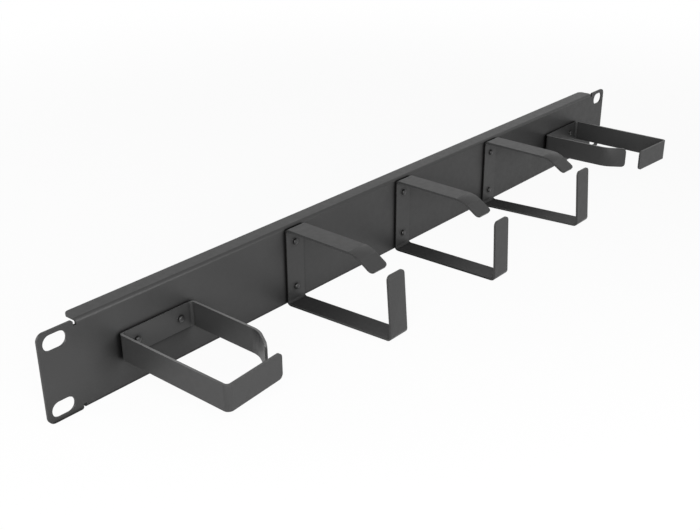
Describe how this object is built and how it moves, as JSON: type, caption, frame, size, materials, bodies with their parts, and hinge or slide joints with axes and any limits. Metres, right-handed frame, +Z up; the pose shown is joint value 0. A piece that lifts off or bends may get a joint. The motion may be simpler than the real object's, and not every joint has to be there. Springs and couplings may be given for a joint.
{
  "type": "rack cable management panel",
  "caption": "Folded sheet panel, one rack unit high, with open rings of bent strip riveted along its front to route and hold cables; slotted ears bolt it to rack rails.",
  "frame": {"origin": "middle of the rack slots, on the rear face of the sheet, which lies against the rack rails", "axes": "+Z up, +X along the panel from left to right seen from the front, -Y out to the front, where the rings are"},
  "size_m": [0.4826, 0.0777, 0.0432],
  "materials": {
    "panel_coat": "satin black powder coat",
    "ring_coat": "satin black powder coat",
    "rivet_coat": "glossy black lacquer"
  },
  "bodies": {
    "root": {"panel": "panel_coat", "ring_left": "ring_coat", "ring_1": "ring_coat", "ring_2": "ring_coat", "ring_3": "ring_coat", "ring_right": "ring_coat", "rivet_left_a": "rivet_coat", "rivet_left_b": "rivet_coat", "rivet_1_a": "rivet_coat", "rivet_1_b": "rivet_coat", "rivet_2_a": "rivet_coat", "rivet_2_b": "rivet_coat", "rivet_3_a": "rivet_coat", "rivet_3_b": "rivet_coat", "rivet_right_a": "rivet_coat", "rivet_right_b": "rivet_coat"}
  },
  "joints": []
}
